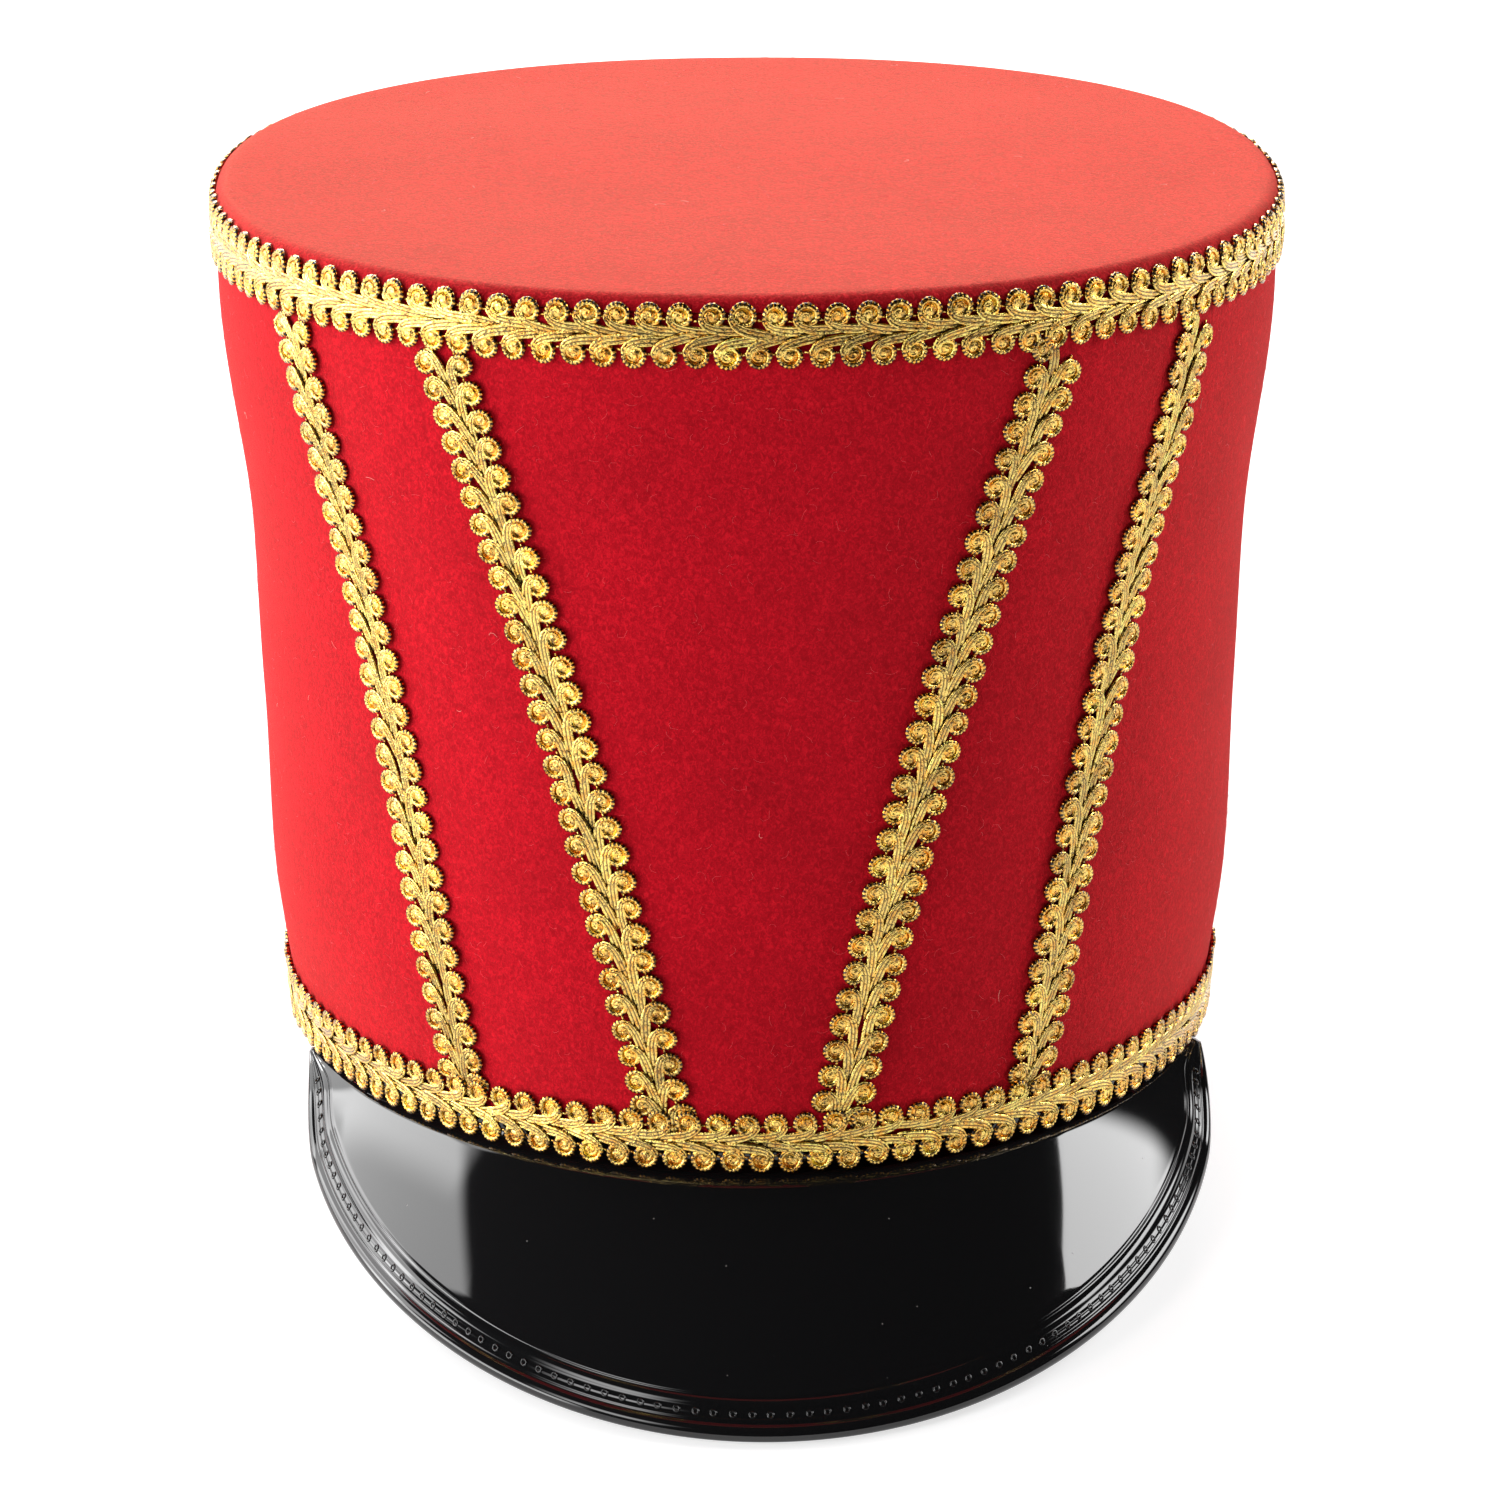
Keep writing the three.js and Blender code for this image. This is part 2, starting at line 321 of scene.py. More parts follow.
@dataclass(frozen=True)
class WoolFelt:
    """Pressed and milled wool felt, dyed scarlet.

    Milling mats the fibres, so the eye gets a soft nap: no gloss, a halo where light
    grazes it, and a mottle where the fibres lie in different ways.
    """

    name: str
    dyed: str
    deep: str
    raised: str
    halo: str
    halo_weight: float
    fibre_mm: float = 0.62         # mats of fibres, the finest part of the nap that shows
    tuft_mm: float = 2.4           # drifts of the nap
    cloud_mm: float = 22.0         # uneven dye and pressing

    def material(self) -> bpy.types.Material:
        """Builds the felt's material on Object coordinates.

        Returns:
            The material.
        """
        material, tree = new_material(self.name)
        place = add_node(tree, "ShaderNodeTexCoord").outputs["Object"]
        streak = add_node(tree, "ShaderNodeMapping", {"Scale": (1.0, 1.0, 0.8)}, {"Vector": place})
        fibre = add_node(tree, "ShaderNodeTexNoise",
                         {"Scale": 1 / (self.fibre_mm * MM), "Detail": 4.0, "Roughness": 0.65,
                          "Distortion": 1.2}, {"Vector": streak.outputs[0]})
        tuft = add_node(tree, "ShaderNodeTexNoise",
                        {"Scale": 1 / (self.tuft_mm * MM), "Detail": 3.0, "Distortion": 0.8},
                        {"Vector": place})
        cloud = add_node(tree, "ShaderNodeTexNoise",
                         {"Scale": 1 / (self.cloud_mm * MM), "Detail": 2.0}, {"Vector": place})
        dark = add_node(tree, "ShaderNodeMapRange",
                        {"From Min": 0.40, "From Max": 0.58, "To Min": 0.85, "To Max": 0.0},
                        {"Value": fibre.outputs["Fac"]})
        light = add_node(tree, "ShaderNodeMapRange",
                         {"From Min": 0.55, "From Max": 0.75, "To Min": 0.0, "To Max": 0.5},
                         {"Value": fibre.outputs["Fac"]})
        drift = add_node(tree, "ShaderNodeMapRange",
                         {"From Min": 0.35, "From Max": 0.65, "To Min": 0.3, "To Max": 0.0},
                         {"Value": tuft.outputs["Fac"]})
        deepest = add_node(tree, "ShaderNodeMix",
                           {"data_type": "RGBA", 6: linear_from_hex(self.dyed),
                            7: linear_from_hex(self.deep)}, {0: dark.outputs[0]})
        drifted = add_node(tree, "ShaderNodeMix",
                           {"data_type": "RGBA", 7: linear_from_hex(self.deep)},
                           {0: drift.outputs[0], 6: deepest.outputs[2]})
        napped = add_node(tree, "ShaderNodeMix",
                          {"data_type": "RGBA", 7: linear_from_hex(self.raised)},
                          {0: light.outputs[0], 6: drifted.outputs[2]})
        clouded = add_node(tree, "ShaderNodeHueSaturation", {},
                           {"Color": napped.outputs[2],
                            "Value": add_node(tree, "ShaderNodeMapRange",
                                              {"From Min": 0.3, "From Max": 0.7,
                                               "To Min": 0.93, "To Max": 1.07},
                                              {"Value": cloud.outputs["Fac"]}).outputs[0]})
        height = add_node(tree, "ShaderNodeMath", {"operation": "MULTIPLY_ADD", 1: 0.5},
                          {0: tuft.outputs["Fac"], 2: fibre.outputs["Fac"]})
        bump = add_node(tree, "ShaderNodeBump", {"Strength": 0.55, "Distance": 0.35 * MM},
                        {"Height": height.outputs[0]})
        shader = add_node(tree, "ShaderNodeBsdfPrincipled",
                          {"Roughness": 0.95, "IOR": 1.45, "Specular IOR Level": 0.15,
                           "Sheen Weight": self.halo_weight, "Sheen Roughness": 0.45,
                           "Sheen Tint": linear_from_hex(self.halo)},
                          {"Base Color": clouded.outputs[0], "Normal": bump.outputs[0]})
        add_node(tree, "ShaderNodeOutputMaterial", {}, {"Surface": shader.outputs[0]})
        return material


@dataclass(frozen=True)
class WoolFibre:
    """Loose wool fibres that stand off the felt: thin, soft and without gloss."""

    name: str
    colour: str

    def material(self) -> bpy.types.Material:
        """Builds the fibre's material.

        Returns:
            The material.
        """
        material, tree = new_material(self.name)
        place = add_node(tree, "ShaderNodeTexCoord").outputs["Object"]
        patch = add_node(tree, "ShaderNodeTexNoise", {"Scale": 1 / (3.0 * MM)}, {"Vector": place})
        value = add_node(tree, "ShaderNodeMapRange", {"To Min": 0.75, "To Max": 1.25},
                         {"Value": patch.outputs["Fac"]})
        tinted = add_node(tree, "ShaderNodeHueSaturation", {"Color": linear_from_hex(self.colour)},
                          {"Value": value.outputs[0]})
        shader = add_node(tree, "ShaderNodeBsdfPrincipled",
                          {"Roughness": 0.8, "IOR": 1.45, "Sheen Weight": 0.3},
                          {"Base Color": tinted.outputs[0]})
        add_node(tree, "ShaderNodeOutputMaterial", {}, {"Surface": shader.outputs[0]})
        return material


@dataclass(frozen=True)
class GiltThread:
    """Gilt gimp: cotton cord wrapped with flat metal foil thread.

    The foil gives small white-gold glints next to brown shade. The dark ticks between two wraps
    and the dark lines between the threads of a bundle are painted shade in those grooves.
    """

    name: str = "gilt_foil_thread"
    foil: str = "ffdf76"
    warm: str = "f2a526"
    # colour of the painted groove shade, and of the foil's random dark gaps
    shade: str = "1c0e02"
    wrap_mm: float = 0.6           # turns of foil, three times too coarse so that they show
    patch_mm: float = 1.5          # foil that has turned over or worn

    def material(self) -> bpy.types.Material:
        """Builds the thread's material on Object coordinates and the cords' own attributes.

        Returns:
            The material.
        """
        material, tree = new_material(self.name)
        place = add_node(tree, "ShaderNodeTexCoord").outputs["Object"]
        groove, tone, warm = (
            add_node(tree, "ShaderNodeAttribute", {"attribute_name": name}).outputs["Fac"]
            for name in ("groove", "tone", "warm"))
        patch = add_node(tree, "ShaderNodeTexNoise",
                         {"Scale": 1 / (self.patch_mm * MM), "Detail": 2.0}, {"Vector": place})
        wrap = add_node(tree, "ShaderNodeTexNoise",
                        {"Scale": 1 / (self.wrap_mm * MM), "Detail": 2.0, "Distortion": 0.8},
                        {"Vector": place})
        worn = add_node(tree, "ShaderNodeMapRange",
                        {"From Min": 0.45, "From Max": 0.65, "To Max": 0.6},
                        {"Value": patch.outputs["Fac"]})
        warmth = add_node(tree, "ShaderNodeMath",
                          {"operation": "MULTIPLY_ADD", "use_clamp": True, 1: 0.75},
                          {0: warm, 2: worn.outputs[0]})
        foil = add_node(tree, "ShaderNodeMix",
                        {"data_type": "RGBA", 6: linear_from_hex(self.foil),
                         7: linear_from_hex(self.warm)}, {0: warmth.outputs[0]})
        gap = add_node(tree, "ShaderNodeMapRange",
                       {"From Min": 0.57, "From Max": 0.66, "To Max": 0.8},
                       {"Value": wrap.outputs["Fac"]})
        # painted shade in the grooves, from the cords' groove layer: between wraps at the ticks,
        # between threads all along, and the knot's random dark specks
        painted_groove_shade = add_node(tree, "ShaderNodeMapRange", {"From Min": 0.2, "From Max": 0.55},
                          {"Value": groove})
        tick = add_node(tree, "ShaderNodeMath", {"operation": "MAXIMUM"},
                        {0: painted_groove_shade.outputs[0], 1: gap.outputs[0]})
        shaded = add_node(tree, "ShaderNodeMix",
                          {"data_type": "RGBA", 7: linear_from_hex(self.shade)},
                          {0: tick.outputs[0], 6: foil.outputs[2]})
        toned = add_node(tree, "ShaderNodeHueSaturation", {},
                         {"Color": shaded.outputs[2], "Value": tone})
        rough = add_node(tree, "ShaderNodeMapRange", {"To Min": 0.1, "To Max": 0.32},
                         {"Value": wrap.outputs["Fac"]})
        bump = add_node(tree, "ShaderNodeBump", {"Strength": 1.0, "Distance": 0.2 * MM},
                        {"Height": wrap.outputs["Fac"]})
        shader = add_node(tree, "ShaderNodeBsdfPrincipled",
                          {"Metallic": 0.95, "Coat Weight": 0.55, "Coat Roughness": 0.05,
                           "Coat IOR": 1.7},
                          {"Base Color": toned.outputs[0], "Roughness": rough.outputs[0],
                           "Normal": bump.outputs[0], "Coat Normal": bump.outputs[0]})
        add_node(tree, "ShaderNodeOutputMaterial", {}, {"Surface": shader.outputs[0]})
        return material


@dataclass(frozen=True)
class MouldedVinyl:
    """Black vinyl sheet, pressed in a polished mould.

    The eye gets a mirror-like black with very slow waves in its reflections and a
    few specks of dust.
    """

    name: str = "moulded_gloss_vinyl"
    body: str = "121213"
    dust: str = "8d8a86"
    wave_mm: float = 30.0
    speck_mm: float = 5.5

    def material(self) -> bpy.types.Material:
        """Builds the vinyl's material on Object coordinates.

        Returns:
            The material.
        """
        material, tree = new_material(self.name)
        place = add_node(tree, "ShaderNodeTexCoord").outputs["Object"]
        wave = add_node(tree, "ShaderNodeTexNoise",
                        {"Scale": 1 / (self.wave_mm * MM), "Detail": 1.0}, {"Vector": place})
        cells = add_node(tree, "ShaderNodeTexVoronoi",
                         {"Scale": 1 / (self.speck_mm * MM), "Randomness": 1.0}, {"Vector": place})
        speck = add_node(tree, "ShaderNodeMapRange",
                         {"From Min": 0.018, "From Max": 0.03, "To Min": 0.7, "To Max": 0.0},
                         {"Value": cells.outputs["Distance"]})
        base = add_node(tree, "ShaderNodeMix",
                        {"data_type": "RGBA", 6: linear_from_hex(self.body),
                         7: linear_from_hex(self.dust)}, {0: speck.outputs[0]})
        rough = add_node(tree, "ShaderNodeMapRange", {"To Min": 0.05, "To Max": 0.6},
                         {"Value": speck.outputs[0]})
        bump = add_node(tree, "ShaderNodeBump", {"Strength": 0.25, "Distance": 0.5 * MM},
                        {"Height": wave.outputs["Fac"]})
        shader = add_node(tree, "ShaderNodeBsdfPrincipled",
                          {"IOR": 1.5, "Specular IOR Level": 0.6},
                          {"Base Color": base.outputs[2], "Roughness": rough.outputs[0],
                           "Normal": bump.outputs[0]})
        add_node(tree, "ShaderNodeOutputMaterial", {}, {"Surface": shader.outputs[0]})
        return material


@dataclass(frozen=True)
class LitTable:
    """A white acrylic table that is lit from beneath, so the hat throws hardly any shadow."""

    name: str = "backlit_white_acrylic"
    colour: str = "bcbcbc"
    glow: float = 0.7
    grain_mm: float = 40.0

    def material(self) -> bpy.types.Material:
        """Builds the acrylic's material.

        Returns:
            The material.
        """
        material, tree = new_material(self.name)
        place = add_node(tree, "ShaderNodeTexCoord").outputs["Object"]
        grain = add_node(tree, "ShaderNodeTexNoise", {"Scale": 1 / (self.grain_mm * MM)},
                         {"Vector": place})
        rough = add_node(tree, "ShaderNodeMapRange", {"To Min": 0.8, "To Max": 0.95},
                         {"Value": grain.outputs["Fac"]})
        shader = add_node(tree, "ShaderNodeBsdfPrincipled",
                          {"Base Color": linear_from_hex(self.colour), "Specular IOR Level": 0.1,
                           "Emission Color": (1.0, 1.0, 1.0, 1.0), "Emission Strength": self.glow},
                          {"Roughness": rough.outputs[0]})
        add_node(tree, "ShaderNodeOutputMaterial", {}, {"Surface": shader.outputs[0]})
        return material


# ---- Felt ----------------------------------------------------------------


@dataclass(frozen=True)
class FeltCrown:
    """The felt wall and the stiff felt top, each one soft-looking sheet."""

    columns: int = 240
    wall_rows: int = 56
    top_rings: int = 36
    swell_mm: float = 0.16
    cut_mm: float = 4.7            # the felt stops this far above the peak's seam ...
    cut_degrees: tuple[float, float] = (60.0, 70.0)    # ... and runs down to the rim here
    cut_fade_mm: float = 20.0      # the cut shifts nothing above this height

    def swell(self, angle: np.ndarray, z: np.ndarray) -> np.ndarray:
        """Slow unevenness of hand-pressed felt, in millimetres.

        Args:
            angle: angles from the front.
            z: heights above the rim.

        Returns:
            Distances out from the smooth form.
        """
        waves = (np.sin(3 * angle + 0.04 * z + 0.6) + np.sin(5 * angle - 0.07 * z + 2.1)
                 + np.sin(9 * angle + 0.11 * z) * 0.6 + np.sin(0.13 * z + 2 * angle) * 0.8)
        return self.swell_mm * waves / 2

    def build_wall(self, felt: bpy.types.Material) -> bpy.types.Object:
        """Builds the wall, open below and above.

        Args:
            felt: the felt's material.

        Returns:
            The wall's object.
        """
        top = CROWN.height - CROWN.top_thickness - CROWN.seam_gap
        outside = [(CORE, share * top) for share in np.linspace(0.0, 1.0, self.wall_rows)]
        inside = [(CORE - CROWN.wall, share * top) for share in np.linspace(1.0, 0.0, 12)]
        rolled = [(CORE - CROWN.wall * 0.8, -0.25), (CORE - CROWN.wall * 0.2, -0.25)]
        bm = spun_section(outside + inside + rolled, self.columns)

        def place(points: np.ndarray) -> np.ndarray:
            """Puts the plain ring on the crown.

            Args:
                points: corners of the plain ring.

            Returns:
                Their places in the shared frame.
            """
            x, y, z = points.T
            angle = np.arctan2(x, -y)
            out = np.hypot(x, y) - CORE
            start, end = np.radians(self.cut_degrees)
            cut = self.cut_mm * np.clip((end - np.abs(angle)) / (end - start), 0, 1)
            fade = self.cut_fade_mm
            z = np.where(z < fade, cut + np.maximum(z, 0) * (fade - cut) / fade, z)
            return STANCE.place(CROWN.point(angle, z, out + self.swell(angle, z)))

        warp(bm, place)
        return add_piece(bm, "felt_wall", felt, ["crown_wall"])

    def build_top(self, felt: bpy.types.Material) -> bpy.types.Object:
        """Builds the top disc with its rounded edge.

        Args:
            felt: the felt's material.

        Returns:
            The top's object.
        """
        height, radius = CROWN.height, CROWN.corner_radius
        half_width = float(CROWN.sizes(np.array([height]))[0][0])
        under = height - CROWN.top_thickness
        flat = half_width - radius
        corner = [(flat + radius * math.cos(t), height - radius + radius * math.sin(t))
                  for t in np.radians(np.linspace(0, 90, 8))]
        upper = [(flat * share, height) for share in np.linspace(1.0, 0.0, self.top_rings)[1:]]
        bm = spun_section([(0.0, under), (half_width, under), *corner, *upper], self.columns)

        def place(points: np.ndarray) -> np.ndarray:
            """Stretches the round disc to the crown's outline.

            Args:
                points: corners of the round disc.

            Returns:
                Their places in the shared frame.
            """
            x, y, z = points.T
            angle = np.arctan2(x, -y)
            share = np.hypot(x, y) / half_width
            edge = CROWN.point(angle, np.full_like(z, height))
            level = edge * share[:, None]
            dip = self.swell_mm * (np.sin(level[:, 0] * 0.045 + 1) + np.sin(level[:, 1] * 0.06))
            level[:, 2] = z + np.where(z > height - 0.01, dip * np.minimum(6 * (1 - share), 1), 0)
            return STANCE.place(level)

        warp(bm, place)
        return add_piece(bm, "felt_top", felt, ["crown_top"])


@dataclass(frozen=True)
class FeltNap:
    """Loose fibres lying on the felt, each a short bent strand."""

    name: str
    count: int
    thickness_mm: float
    length_mm: tuple[float, float]
    lift_mm: float
    seed: int
    points_per_strand: int = 4
    wall_share: float = 0.7
    bend: float = 1.2              # radians that a strand turns by, give or take
    crown_radius_mm: float = 95.0

    def paths(self) -> np.ndarray:
        """Works out the strands' points, wall first and then top.

        Returns:
            An array of strands by points by three, in metres.
        """
        rng = np.random.default_rng(self.seed)
        on_wall = int(self.count * self.wall_share)
        share = np.linspace(0.0, 1.0, self.points_per_strand)
        length = rng.uniform(*self.length_mm, self.count)[:, None]
        way = (rng.uniform(0, FULL_TURN, self.count)[:, None]
               + share * rng.normal(0, self.bend, (self.count, 1)))
        along, across = length * share * np.cos(way), length * share * np.sin(way)
        lift = 0.06 + self.lift_mm * rng.uniform(0, 1, (self.count, 1)) ** 3 * share
        angle = rng.uniform(0, FULL_TURN, (on_wall, 1)) + along[:on_wall] / self.crown_radius_mm
        z = np.clip(rng.uniform(1, CROWN.height - 4, (on_wall, 1)) + across[:on_wall], 0.5, 159)
        wall = CROWN.point(angle, z, lift[:on_wall] + 0.1)
        turn = rng.uniform(0, FULL_TURN, (self.count - on_wall, 1))
        reach = np.sqrt(rng.uniform(0, 0.95, (self.count - on_wall, 1)))
        top = CROWN.point(turn, np.full_like(turn, CROWN.height)) * reach[..., None]
        top = top + np.stack([along[on_wall:], across[on_wall:], np.zeros_like(across[on_wall:])], -1)
        top[..., 2] = CROWN.height + lift[on_wall:] + 0.12
        return STANCE.place(np.concatenate([wall, top]))

    def build(self, fibre: bpy.types.Material, slot: str) -> bpy.types.Object:
        """Draws every strand as a thin round thread in one piece.

        Args:
            fibre: the fibres' material.
            slot: not used.

        Returns:
            The piece.
        """
        curve = bpy.data.curves.new(self.name, "CURVE")
        curve.dimensions = "3D"
        curve.bevel_depth = self.thickness_mm * MM / 2
        curve.bevel_resolution = 0
        for strand in self.paths():
            spline = curve.splines.new("POLY")
            spline.points.add(len(strand) - 1)
            spline.points.foreach_set("co", np.c_[strand, np.ones(len(strand))].ravel())
        drawn = bpy.data.objects.new(self.name + "_curve", curve)
        bpy.context.scene.collection.objects.link(drawn)
        bpy.context.view_layer.update()
        bm = bmesh.new()
        bm.from_mesh(drawn.to_mesh())
        bpy.data.objects.remove(drawn)
        return add_piece(bm, self.name, fibre)


# ---- Gimp braid ----------------------------------------------------------


@dataclass(frozen=True)
class Station:
    """One stop of a cord's section on its way: where, which way, how wide and how high."""

    u: float
    v: float
    w: float
    heading: float
    width: float
    rise: float
    tick: bool = False

    def matrix(self) -> Matrix:
        """The section's own axes here: along, side and up."""
        c, s = math.cos(self.heading), math.sin(self.heading)
        return Matrix(((c, -s * self.width, 0, self.u), (s, c * self.width, 0, self.v),
                       (0, 0, self.rise, self.w), (0, 0, 0, 1)))


@dataclass(frozen=True)
class CordSection:
    """A cord's closed section: corners as (side, up), and how each is coloured.

    The first dark values are painted shade all along the cord, in the valleys between threads;
    the second are painted shade only at the ticks, in the grooves between wraps. A warm
    corner has redder foil.
    """

    corners: tuple[tuple[float, float], ...]
    crevice_shade: tuple[float, ...]
    wraps: tuple[float, ...]
    warmths: tuple[float, ...]


def round_section(sides: int) -> CordSection:
    """A round cord's section, with painted shade between the wraps at its ticks on its right hand.

    Args:
        sides: how many sides it has.

    Returns:
        The section.
    """
    turns = [(i + 0.5) * FULL_TURN / sides for i in range(sides)]
    corners = tuple((math.cos(t), math.sin(t)) for t in turns)
    # painted shade at the ticks on the outer side, fainter on the top; the same corners get redder
    # foil
    outer = tuple(1.0 if side < -0.1 else 0.6 if up > 0.9 else 0.0 for side, up in corners)
    return CordSection(corners, (0.0,) * sides, outer, outer)


# Five or six fine threads in the real bundle, drawn as three so that they show.
THREADS = CordSection(
    corners=((-0.5, 0.0), (-0.5, 0.55), (-0.34, 1.05), (-0.17, 0.35), (0.0, 1.0),
             (0.17, 0.35), (0.34, 1.05), (0.5, 0.55), (0.5, 0.0)),
    # painted shade in the valleys between the threads and along the bundle's edges
    crevice_shade=(0.6, 0.3, 0.0, 0.54, 0.0, 0.54, 0.0, 0.3, 0.6),
    wraps=(0.0,) * 9,
    warmths=(0.6, 0.2, 0.0, 0.5, 0.2, 0.5, 0.0, 0.2, 0.6),
)


def draw_cord(bm: bmesh.types.BMesh, section: CordSection, stations: Sequence[Station]) -> None:
    """Draws a closed section along its stations by extruding it step by step.

    Args:
        bm: the mesh that gets the cord.
        section: the cord's section.
        stations: the stops from end to end.
    """
    groove, warm = (bm.verts.layers.float[name] for name in ("groove", "warm"))
    start = stations[0].matrix()
    ring = [bm.verts.new(start @ Vector((0.0, side, up))) for side, up in section.corners]
    edges = [bm.edges.new(pair) for pair in zip(ring, ring[1:] + ring[:1])]
    bmesh.ops.contextual_create(bm, geom=edges)
    for vertex, seam, warmth in zip(ring, section.crevice_shade, section.warmths):
        vertex[groove], vertex[warm] = seam, warmth
    for last, station in zip(stations, stations[1:]):
        grown = bmesh.ops.extrude_edge_only(bm, edges=edges)["geom"]
        verts = [part for part in grown if isinstance(part, bmesh.types.BMVert)]
        fresh = set(verts)
        edges = [part for part in grown
                 if isinstance(part, bmesh.types.BMEdge) and fresh.issuperset(part.verts)]
        back = last.matrix().inverted()
        for vertex in verts:
            _, side, up = back @ vertex.co
            corner = min(range(len(section.corners)), key=lambda i: math.dist(
                section.corners[i], (side, up)))
            # painted shade: between wraps at tick stations, between threads elsewhere
            vertex[groove] = section.wraps[corner] if station.tick else section.crevice_shade[corner]
            vertex[warm] = section.warmths[corner]
        bmesh.ops.transform(bm, matrix=station.matrix() @ back, verts=verts)
    bmesh.ops.contextual_create(bm, geom=edges)


@dataclass(frozen=True)
class GimpLoop:
    """One loop of the braid, like a shepherd's crook, in millimetres.

    Its stem of threads starts at the braid's centre line under the next loop, hooks
    round, and goes on as a wrapped cord that curls outwards and closes in a small coil
    over a knot of its own threads. u runs along the braid, v across it and w out from
    the felt.
    """

    pitch: float
    head_centre: float = 3.5
    head_radius: float = 1.84
    coil_radius: float = 0.34
    cord_radius: float = 0.56
    coil_cord_radius: float = 0.42
    head_degrees: tuple[float, float, float] = (-50.0, 205.0, 560.0)   # start, curl, end
    tick_degrees: float = 22.0
    stem_width: float = 1.95
    knot_size: tuple[float, float, float] = (1.55, 1.55, 0.66)

    def head(self) -> list[Station]:
        """The wrapped cord round the head, pinched between its wraps, and its coil.

        Returns:
            Its stations, from the stem's side round to the coil's end.
        """
        first, curl, last = (math.radians(turn) for turn in self.head_degrees)
        step = math.radians(self.tick_degrees / 2)
        outer = np.arange(first, curl, step)
        inner = np.arange(outer[-1] + 2 * step, last, 2 * step)
        stations = []
        for i, turn in enumerate(np.concatenate([outer, inner])):
            inward = max(0.0, (turn - curl) / (last - curl))
            radius = self.head_radius + (self.coil_radius - self.head_radius) * inward ** 0.8
            # every other station on the outer arc is a tick: pinched, with painted shade between the
            # wraps
            tick = i < len(outer) and i % 2 == 1
            size = self.cord_radius + (self.coil_cord_radius - self.cord_radius) * inward
            size *= 0.84 if tick else 1.0
            stations.append(Station(
                u=radius * math.cos(turn), v=self.head_centre + radius * math.sin(turn),
                w=0.56 - 0.1 * math.sin(math.pi * inward), heading=turn + math.pi / 2,
                width=size, rise=size, tick=tick))
        return stations

    def stem(self) -> list[Station]:
        """The flat bundle of threads from the centre line up and round into the head.

        Returns:
            Its stations, from the centre line to the head.
        """
        path = (
            (-1.22, 0.56, 0.06, 0.80), (-0.98, 0.62, 0.18, 1.0), (-0.72, 0.72, 0.34, 1.0),
            (-0.46, 0.88, 0.46, 1.0), (-0.20, 1.08, 0.56, 0.97), (0.04, 1.44, 0.62, 0.88),
            (0.22, 1.98, 0.62, 0.78), (0.325, 2.75, 0.56, 0.68), (0.33, 3.55, 0.42, 0.60),
        )
        points = np.array([(u * self.pitch, v) for u, v, _, _ in path])
        slopes = np.gradient(points, axis=0)
        return [Station(u=u, v=v, w=w, heading=math.atan2(dv, du), width=self.stem_width * wide,
                        rise=0.52)
                for (u, v), (du, dv), (_, _, w, wide) in zip(points, slopes, path)]

    def link(self) -> list[Station]:
        """The short thread that ties this head to the next.

        Returns:
            Its stations.
        """
        reach = self.head_radius + self.cord_radius * 0.6
        gap = self.pitch - 2 * reach
        return [Station(u=reach + gap * share, v=self.head_centre - 0.6, w=0.38, heading=0.0,
                        width=0.24, rise=0.24) for share in (0.0, 0.5, 1.0)]

    def tie_knot(self, bm: bmesh.types.BMesh) -> None:
        """Fills the head with a low lump of crossed threads, light and dark by turns.

        Args:
            bm: the mesh that gets the knot.
        """
        groove, warm = (bm.verts.layers.float[name] for name in ("groove", "warm"))
        verts = bmesh.ops.create_icosphere(bm, subdivisions=2, radius=1.0)["verts"]
        under = [vertex for vertex in verts if vertex.co.z < -0.1]
        rng = np.random.default_rng(SEED)
        for vertex in verts:
            vertex[groove] = float(rng.choice((0.0, 0.0, 0.1, 0.5)))
            vertex[warm] = float(rng.uniform(0.0, 0.7))
            vertex.co *= rng.uniform(0.86, 1.1)
        bmesh.ops.transform(bm, verts=verts, matrix=Matrix.Translation(
            (0.0, self.head_centre, 0.2)) @ Matrix.Diagonal((*self.knot_size, 1.0)))
        bmesh.ops.delete(bm, geom=under, context="VERTS")

    def template(self) -> bmesh.types.BMesh:
        """Draws one loop lying flat, with its layers for colour.

        Returns:
            The loop's mesh.
        """
        bm = bmesh.new()
        for name in ("groove", "tone", "warm"):
            bm.verts.layers.float.new(name)
        self.tie_knot(bm)
        draw_cord(bm, round_section(6), self.head())
        draw_cord(bm, THREADS, self.stem())
        draw_cord(bm, round_section(4), self.link())
        bmesh.ops.recalc_face_normals(bm, faces=bm.faces)
        return bm


class Row(Enum):
    """The two rows of loops: the one on the side of +v, and its mirror image."""

    UPPER = 1
    LOWER = -1


